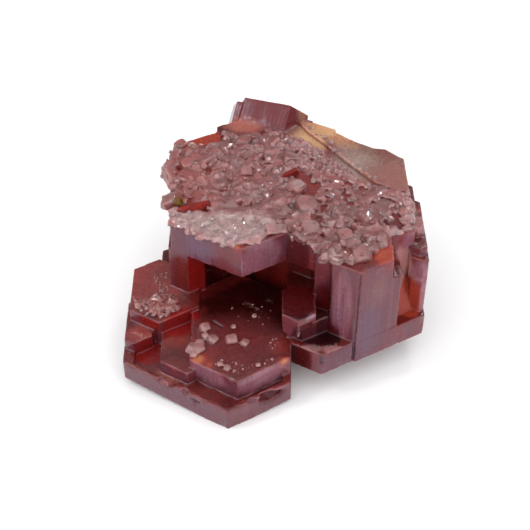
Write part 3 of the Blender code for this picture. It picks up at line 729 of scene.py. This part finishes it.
def joined(name, meshes):
    """One mesh from several."""
    whole = bmesh.new()
    for mesh in meshes:
        whole.from_mesh(mesh)
    made = bpy.data.meshes.new(name)
    whole.to_mesh(made)
    whole.free()
    return made


# The druse is a clear mineral full of fine joints, so it lets light in and scatters it. It is rosy where
# the red crystal shows through, white where the grains are finest, and its faces glint as if wet. The
# grains' rims get a painted highlight, and the clefts between them painted shade.
DRUSE_ROSE = "#BA6E6C"
DRUSE_GREY_ROSE = "#B27E7E"
DRUSE_DEEP = "#8E5052"
DRUSE_BLUSH = "#C86C66"
DRUSE_RIM_HIGHLIGHT = "#DCB8B6"
DRUSE_CLEFT_SHADE = "#742C2A"
SNOW_DULL = "#86686C"
SNOW_PALE = "#B29490"
SNOW_CLEFT_SHADE = "#84585C"
CLEAR_ROSE = "#E2C0BE"

druse = bpy.data.materials.new("glassy_pale_druse")
druse.use_nodes = True
tree = druse.node_tree
shader = tree.nodes["Principled BSDF"]
spot = add(tree, "ShaderNodeTexCoord").outputs["Object"]
sugar, painted_rim_highlight, painted_cleft_shade, blush = [
    add(tree, "ShaderNodeAttribute", attribute_name=name).outputs["Fac"]
    for name in ("sugar", "painted_rim_highlight", "painted_cleft_shade", "blush")]
blotches = pattern(tree, spot, (0.5, 0.5, 0.5), 3.0)
lumps = pattern(tree, spot, (2.2, 2.2, 2.2), 3.0, 0.6)
fine = pattern(tree, spot, (4.0, 4.0, 4.0), 2.0, 0.5)
cells = add(tree, "ShaderNodeTexVoronoi", {"Vector": spot, "Scale": 1.1 / MM})
each = add(tree, "ShaderNodeSeparateColor", {0: cells.outputs["Color"]})
clear_colour = stained(tree, DRUSE_ROSE, DRUSE_GREY_ROSE, blotches, 0.35, 0.65)
clear_colour = stained(tree, clear_colour, DRUSE_DEEP, each, 0.0, 1.0, 0.0, 0.25)
clear_colour = stained(tree, clear_colour, DRUSE_BLUSH, blush, 0.0, 1.0, 0.0, 0.6)
clear_colour = stained(tree, clear_colour, DRUSE_RIM_HIGHLIGHT, painted_rim_highlight, 0.0, 1.0, 0.0, 0.5)
clear_colour = stained(tree, clear_colour, DRUSE_CLEFT_SHADE, painted_cleft_shade, 0.0, 1.0, 0.0, 0.5)
snow_colour = stained(tree, SNOW_DULL, SNOW_PALE, lumps, 0.3, 0.65)
snow_colour = stained(tree, snow_colour, SNOW_CLEFT_SHADE, painted_cleft_shade, 0.0, 1.0, 0.0, 0.6)
tree.links.new(stained(tree, clear_colour, snow_colour, sugar), shader.inputs["Base Color"])
clearness = graded(tree, sugar, 0.0, 0.8, 1.0, 0.1, graded(tree, each, 0.0, 1.0, 0.45, 0.65))
tree.links.new(clearness, shader.inputs["Transmission Weight"])
tree.links.new(graded(tree, lumps, 0.3, 0.7, 0.08, 0.24), shader.inputs["Roughness"])
bump = add(tree, "ShaderNodeBump", {
    "Height": fine, "Strength": graded(tree, sugar, 0.0, 0.8, 0.12, 0.5), "Distance": 0.06 * MM})
tree.links.new(bump.outputs["Normal"], shader.inputs["Normal"])
for socket, value in (
        ("IOR", 1.55), ("Subsurface Weight", 0.8), ("Subsurface Radius", (1.0, 0.6, 0.55)),
        ("Subsurface Scale", 0.9 * MM), ("Coat Weight", 0.5), ("Coat Roughness", 0.06)):
    shader.inputs[socket].default_value = value

# The small grains that grew last have few joints, and are clear as glass.
clear_grain = bpy.data.materials.new("clear_druse_grain")
clear_grain.use_nodes = True
shader = clear_grain.node_tree.nodes["Principled BSDF"]
for socket, value in (
        ("Base Color", linear(CLEAR_ROSE)), ("Transmission Weight", 0.88), ("Roughness", 0.10),
        ("IOR", 1.52)):
    shader.inputs[socket].default_value = value
crust_tree = druse_tree("fused_druse", druse)
clear_tree = druse_tree("clear_druse", clear_grain)

# The zones of the crust, as outlines seen from above, in millimetres.
SNOW_BAND = [(-10.2, -2.2), (-9.7, -4.0), (-8.2, -5.2), (-7.1, -6.3), (-5.7, -6.8), (-4.6, -7.4),
             (-2.4, -7.2), (-1.3, -6.7), (-0.6, -5.6), (-0.6, -4.4), (-1.7, -3.4), (-4.3, -3.6),
             (-6.7, -3.0), (-8.8, -2.6)]
LEFT_LUMPS = [(-10.5, 7.6), (-9.7, 8.8), (-8.3, 8.2), (-6.2, 8.0), (-5.7, 5.9), (-6.0, 3.3), (-5.5, 0.8),
              (-5.5, -1.2), (-10.0, -1.4), (-10.3, 2.5)]
MIDDLE_CRUST = [(-5.8, 7.9), (-4.6, 10.2), (-1.3, 10.5), (0.2, 11.6), (1.2, 9.6), (1.5, 5.0), (1.9, 2.4),
                (1.2, 0.2), (0.9, -2.1), (-0.6, -4.4), (-1.7, -3.4), (-4.3, -3.6), (-6.7, -3.0),
                (-5.5, -1.2), (-5.5, 0.8), (-6.0, 3.3)]
FRONT_GRAINS = [(-1.2, -0.1), (1.5, 0.0), (2.9, -1.2), (4.3, -2.4), (1.7, -3.1), (1.2, -5.6), (0.4, -5.8),
                (-0.6, -5.4), (-0.6, -4.4), (-1.7, -3.1)]
RIGHT_LUMPS = [(1.7, -3.1), (4.8, -2.5), (6.7, -2.9), (10.4, -4.2), (10.3, -6.7), (9.0, -7.9), (7.6, -9.4),
               (6.3, -10.0), (5.2, -9.6), (4.3, -8.0), (2.9, -6.3), (2.1, -6.0), (1.5, -5.6)]
SPARKLY = [(1.1, 9.8), (2.7, 9.4), (4.7, 7.2), (6.4, 5.2), (8.2, 2.3), (6.4, 2.9), (4.1, 3.4), (2.4, 4.4),
           (1.5, 5.0)]
FILM = [(4.1, 3.4), (6.4, 2.9), (8.2, 2.3), (9.6, 1.0), (11.6, 0.4), (12.2, -1.5), (10.8, -4.1),
        (8.7, -2.9), (6.7, -2.7), (5.3, -2.2), (4.2, -0.7), (4.5, 0.6)]
RIM = [(11.8, 0.3), (13.2, 0.3), (13.1, -3.1), (12.7, -5.1), (11.6, -5.8), (10.6, -6.3), (10.8, -5.3),
       (12.1, -4.4), (12.4, -2.2)]
RIDGE = [(3.3, 11.3), (4.7, 9.4), (6.2, 7.2), (7.6, 5.2), (8.8, 3.7), (10.2, 2.0), (10.5, 2.3), (9.1, 4.1),
         (7.9, 5.7), (6.6, 7.6), (5.0, 9.8), (3.7, 11.6)]
# What grows in them: outline, height over the plate, spacing, smallest and largest grain, tilt, seed. The
# last two are a second, finer growth over the first.
TOP_GROWTH = (
    (SNOW_BAND, 0.0, 0.38, 0.50, 0.95, 0.3, 3), (LEFT_LUMPS, 0.0, 1.10, 1.00, 1.90, 0.5, 4),
    (MIDDLE_CRUST, 0.0, 0.65, 0.70, 1.40, 0.4, 5), (FRONT_GRAINS, 0.0, 0.90, 0.90, 1.80, 0.4, 6),
    (RIGHT_LUMPS, 0.0, 0.95, 0.90, 1.90, 0.5, 7), (SPARKLY, 0.0, 0.40, 0.40, 0.90, 0.6, 8),
    (FILM, 0.0, 0.70, 0.60, 1.30, 0.10, 9), (RIM, 0.0, 0.50, 0.50, 1.00, 0.4, 10),
    (SPARKLY, 0.35, 0.40, 0.25, 0.60, 1.2, 42), (RIDGE, 0.40, 0.50, 0.20, 0.45, 1.2, 43))
# Grains over the fused crust: spacing, smallest, largest, tilt, seed.
TOP_CLEAR_GRAINS = (1.0, 0.25, 0.60, 0.6, 41)
BIG_GRAIN_RISE = 0.38                # mm; the height of the big grains' middles over the plate


def fused(mesh, name, voxel, rounds):
    """Grains run together into one skin, and rounded a little."""
    skin = reshaped(mesh, name, "REMESH", {"mode": "VOXEL", "voxel_size": voxel})
    points, _, edges = mesh_arrays(skin)
    points = np.stack([spread(points[:, axis], edges, rounds) for axis in range(3)], axis=1)
    skin.vertices.foreach_set("co", points.ravel())
    skin.update()
    points, normals, edges = mesh_arrays(skin)
    # Painted light: a pale highlight on the grains' rims, and painted shade in the clefts between them.
    keep(skin, "painted_rim_highlight", ridges(points, normals, edges))
    keep(skin, "painted_cleft_shade", ridges(points, -normals, edges))
    return skin


def grown_crust(name, grounds, clear_grains, more=()):
    """A crust of fused lumps with clear crisp grains over it, and more grains where they are given."""
    lumps = fused(joined(name, [
        strewn_grains(flat_ground(outline, height, slope), crust_tree, *numbers)
        for outline, height, *numbers, slope in grounds]), name, CRUST_VOXEL, 4)
    lumps = thinned(lumps, name, CRUST_TRIANGLES)
    clear = [strewn_grains(lumps, clear_tree, *clear_grains), *more]
    made = joined(name, [lumps, *clear])
    crisp = np.zeros(len(made.polygons), dtype=bool)
    crisp[len(lumps.polygons):] = True
    made.polygons.foreach_set("material_index", crisp.astype(np.int32))
    made.polygons.foreach_set("use_smooth", ~crisp)
    return made


def finished_grains(name, mesh, finishes):
    """An object of grains, in metres, that rides on the specimen."""
    mesh.transform(Matrix.Scale(MM, 4))
    mesh.materials.clear()
    for finish in finishes:
        mesh.materials.append(finish)
    piece = bpy.data.objects.new(name, mesh)
    collection.objects.link(piece)
    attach(piece, "root")
    return piece


crust_mesh = grown_crust(
    "top_crust", [(outline, PLATE_HEIGHT + rise, *numbers, 0.0) for outline, rise, *numbers in TOP_GROWTH],
    TOP_CLEAR_GRAINS, (big_grains(BIG_GRAINS, PLATE_HEIGHT + BIG_GRAIN_RISE),))
points = mesh_arrays(crust_mesh)[0]
sugar_share = np.maximum(zone(points, SNOW_BAND, 0.7, 0.4), 0.3 * zone(points, RIM, 0.4, 0.3))
sugar_share = np.maximum(sugar_share, 0.1 * zone(points, SPARKLY, 0.6, 0.5))
keep(crust_mesh, "sugar", np.clip(1.7 * sugar_share + 0.15 * drift(points, 1.1, 31), 0.0, 1.0))
keep(crust_mesh, "blush", zone(points, LEFT_LUMPS, 1.0, 0.8))
# In the white band even the clear grains are white.
snowy = zone(points, SNOW_BAND, 0.3) > 0.5
loops = np.empty(len(crust_mesh.loops), dtype=np.int64)
crust_mesh.loops.foreach_get("vertex_index", loops)
starts = np.empty(len(crust_mesh.polygons), dtype=np.int64)
crust_mesh.polygons.foreach_get("loop_start", starts)
finishes = np.empty(len(crust_mesh.polygons), dtype=np.int32)
crust_mesh.polygons.foreach_get("material_index", finishes)
finishes = np.where(snowy[loops[starts]], 0, finishes)
crust_mesh.polygons.foreach_set("material_index", finishes.astype(np.int32))
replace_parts(finished_grains("top_crust", crust_mesh, (druse, clear_grain)), "top_druse")


# ------------------------ the two small druses and the glitter
# The same pale grains in two small tufts, on the low crystal at the left and on the small front plate, and
# strewn as a fine glitter, a tenth to a third of a millimetre wide, over the low faces round them.

LOW_TILT_DEG = 5.0                   # the low crystals in front lie tilted by this much
LOW_SLOPE = math.tan(math.radians(LOW_TILT_DEG))
SIDE_HEIGHT = 6.72                   # mm; where the plane of the side crystal's top passes over y = 0
PLATE_SLOPE_HEIGHT = 6.37            # the same for the small front plate
STEP_SLOPE_HEIGHT = 4.60             # and for the step at that plate's left
SIDE_GROUND = [(-13.7, -6.2), (-12.4, -5.7), (-9.7, -5.7), (-9.5, -7.3), (-10.8, -8.3), (-12.4, -8.1),
               (-13.6, -7.2)]
SIDE_PILE = [(-12.2, -6.0), (-9.8, -6.2), (-9.6, -7.4), (-10.9, -8.2), (-12.0, -7.8)]
FRONT_GRAIN_PLACES = ((-6.8, -9.4, 0.95, 20.0), (-6.0, -10.9, 0.95, 50.0), (-7.2, -11.4, 0.90, 0.0),
                      (-7.9, -12.0, 1.00, 70.0), (-7.2, -12.1, 0.90, 35.0), (-7.7, -12.7, 0.72, 80.0),
                      (-4.2, -10.9, 1.05, 10.0), (-2.9, -11.3, 0.80, 60.0), (-6.7, -10.4, 0.65, 30.0),
                      (-4.0, -9.3, 0.55, 0.0), (-2.0, -7.9, 0.55, 0.0), (-5.2, -13.9, 0.60, 20.0),
                      (-4.5, -14.4, 0.65, 70.0), (-1.6, -14.0, 0.50, 10.0))
# Places with a fine glitter of grains: outline, height over y = 0, spacing.
GLITTER = (
    ([(-12.2, -2.4), (-10.8, -2.2), (-10.5, -5.6), (-11.8, -5.8)], SIDE_HEIGHT, 0.28),
    ([(-14.0, -5.6), (-13.0, -5.4), (-12.6, -7.4), (-13.9, -7.4)], SIDE_HEIGHT, 0.40),
    ([(-5.8, -13.9), (-4.6, -14.2), (-3.5, -15.1), (-2.6, -14.4), (-3.4, -13.6), (-5.0, -13.3)],
     PLATE_SLOPE_HEIGHT, 0.32),
    ([(-2.8, -14.4), (-1.2, -13.9), (0.4, -13.2), (0.5, -12.6), (-1.0, -13.2)], PLATE_SLOPE_HEIGHT, 0.45),
    ([(-0.6, -11.0), (0.3, -10.6), (0.3, -11.8), (-0.4, -12.0)], PLATE_SLOPE_HEIGHT, 0.35),
    ([(-4.5, -6.3), (-0.2, -6.0), (-0.6, -9.0), (-4.0, -8.8)], PLATE_SLOPE_HEIGHT, 0.95),
    ([(-9.9, -11.2), (-8.4, -11.0), (-8.2, -12.6), (-9.8, -12.8)], STEP_SLOPE_HEIGHT, 0.6))
# As on the top plate: outline, height over y = 0, spacing, smallest, largest, tilt, seed, slope.
SIDE_GROWTH = ((SIDE_GROUND, SIDE_HEIGHT, 0.60, 0.35, 0.95, 0.6, 12, LOW_SLOPE),
               (SIDE_PILE, SIDE_HEIGHT + 0.15, 0.45, 0.45, 0.95, 0.6, 14, LOW_SLOPE))
SIDE_CLEAR_GRAINS = (0.5, 0.15, 0.4, 0.6, 13)
FRONT_GRAIN_RISE = 0.10
FRONT_VOXEL = 0.06
FRONT_ROUNDING = 26
GLITTER_GRAINS = (0.07, 0.32, 1.5)   # smallest, largest, tilt
GLITTER_SEED = 71
SIDE_SUGAR = 0.02                    # how white the grains are
FRONT_SUGAR = 0.32
GLITTER_SUGAR = 0.25

side = grown_crust("side_crust", SIDE_GROWTH, SIDE_CLEAR_GRAINS)
keep(side, "sugar", np.full(len(side.vertices), SIDE_SUGAR))
keep(side, "blush", np.full(len(side.vertices), 1.0))
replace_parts(finished_grains("side_crust", side, (druse, clear_grain)), "side_druse")
front_grains = big_grains(FRONT_GRAIN_PLACES, PLATE_SLOPE_HEIGHT + FRONT_GRAIN_RISE, LOW_SLOPE)
front = fused(front_grains, "front", FRONT_VOXEL, FRONT_ROUNDING)
keep(front, "sugar", np.full(len(front.vertices), FRONT_SUGAR))
front.shade_smooth()
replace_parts(finished_grains("front_crust", front, (druse,)), "front_druse")
glitter = joined("glitter", [
    strewn_grains(flat_ground(outline, height, LOW_SLOPE), crust_tree, spacing, *GLITTER_GRAINS,
                  GLITTER_SEED + number)
    for number, (outline, height, spacing) in enumerate(GLITTER)])
keep(glitter, "sugar", np.full(len(glitter.vertices), GLITTER_SUGAR))
finished_grains("fine_glitter", glitter, (druse,))
bpy.data.collections.remove(grain_forms)


# ------------------------ the red blades in the druse
# Two thin clear blades of vanadinite and one olive grain, grown in among the pale grains and left bare:
# low prisms with worn edges, which light passes into, so that they are brighter than the big crystals.

# Name, colour, outline seen from above, heights of the foot and the top.
BLADES = (
    ("red_blade", "#A81E0C",
     [(-9.6, -2.9), (-8.7, -3.3), (-6.0, -2.2), (-6.1, -1.7), (-7.9, -2.1)], 14.75, 15.35),
    ("red_flake", "#8E1C10",
     [(0.5, 2.2), (1.4, 2.4), (2.5, 3.2), (2.2, 3.9), (1.0, 3.0)], 14.7, 15.25),
    ("olive_grain", "#8A7C2C",
     [(-9.8, -1.9), (-9.2, -2.1), (-8.8, -1.7), (-9.1, -1.3), (-9.7, -1.4)], 14.9, 15.5))
BLADE_CLOUDING = "#6A1008"
BLADE_TAPER = 0.86                   # the top's width over the foot's
BLADE_RISE = 0.06                    # the top's slope to the right
BLADE_BEVEL = 0.05

for name, hex_colour, outline, foot, top in BLADES:
    form = bmesh.new()
    middle = sum((Vector(corner) for corner in outline), Vector((0.0, 0.0))) / len(outline)
    for height, share in ((foot, 1.0), (top, BLADE_TAPER)):
        for corner in outline:
            flat_spot = middle.lerp(Vector(corner), share)
            form.verts.new((flat_spot.x, flat_spot.y, height + BLADE_RISE * (flat_spot.x - middle.x)))
    bmesh.ops.convex_hull(form, input=form.verts)
    bmesh.ops.dissolve_limit(form, angle_limit=math.radians(4.0), verts=form.verts, edges=form.edges)
    bmesh.ops.bevel(form, geom=form.edges, offset=BLADE_BEVEL, segments=2, affect="EDGES")
    bmesh.ops.recalc_face_normals(form, faces=form.faces)
    blade_mesh = bpy.data.meshes.new(name)
    form.to_mesh(blade_mesh)
    form.free()
    blade_mesh.transform(Matrix.Scale(MM, 4))
    finish = bpy.data.materials.new(name + "_clear_vanadinite")
    finish.use_nodes = True
    tree = finish.node_tree
    shader = tree.nodes["Principled BSDF"]
    spot = add(tree, "ShaderNodeTexCoord").outputs["Object"]
    clouding = pattern(tree, spot, (1.4, 1.4, 1.4), 3.0)
    colour = stained(tree, hex_colour, BLADE_CLOUDING, clouding, 0.35, 0.7)
    tree.links.new(colour, shader.inputs["Base Color"])
    tree.links.new(graded(tree, clouding, 0.3, 0.7, 0.12, 0.3), shader.inputs["Roughness"])
    for socket, value in (
            ("IOR", 1.62), ("Transmission Weight", 0.3), ("Subsurface Weight", 0.4),
            ("Subsurface Radius", (1.0, 0.16, 0.08)), ("Subsurface Scale", 0.6 * MM)):
        shader.inputs[socket].default_value = value
    blade_mesh.materials.append(finish)
    blade = bpy.data.objects.new(name, blade_mesh)
    collection.objects.link(blade)
    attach(blade, "root")
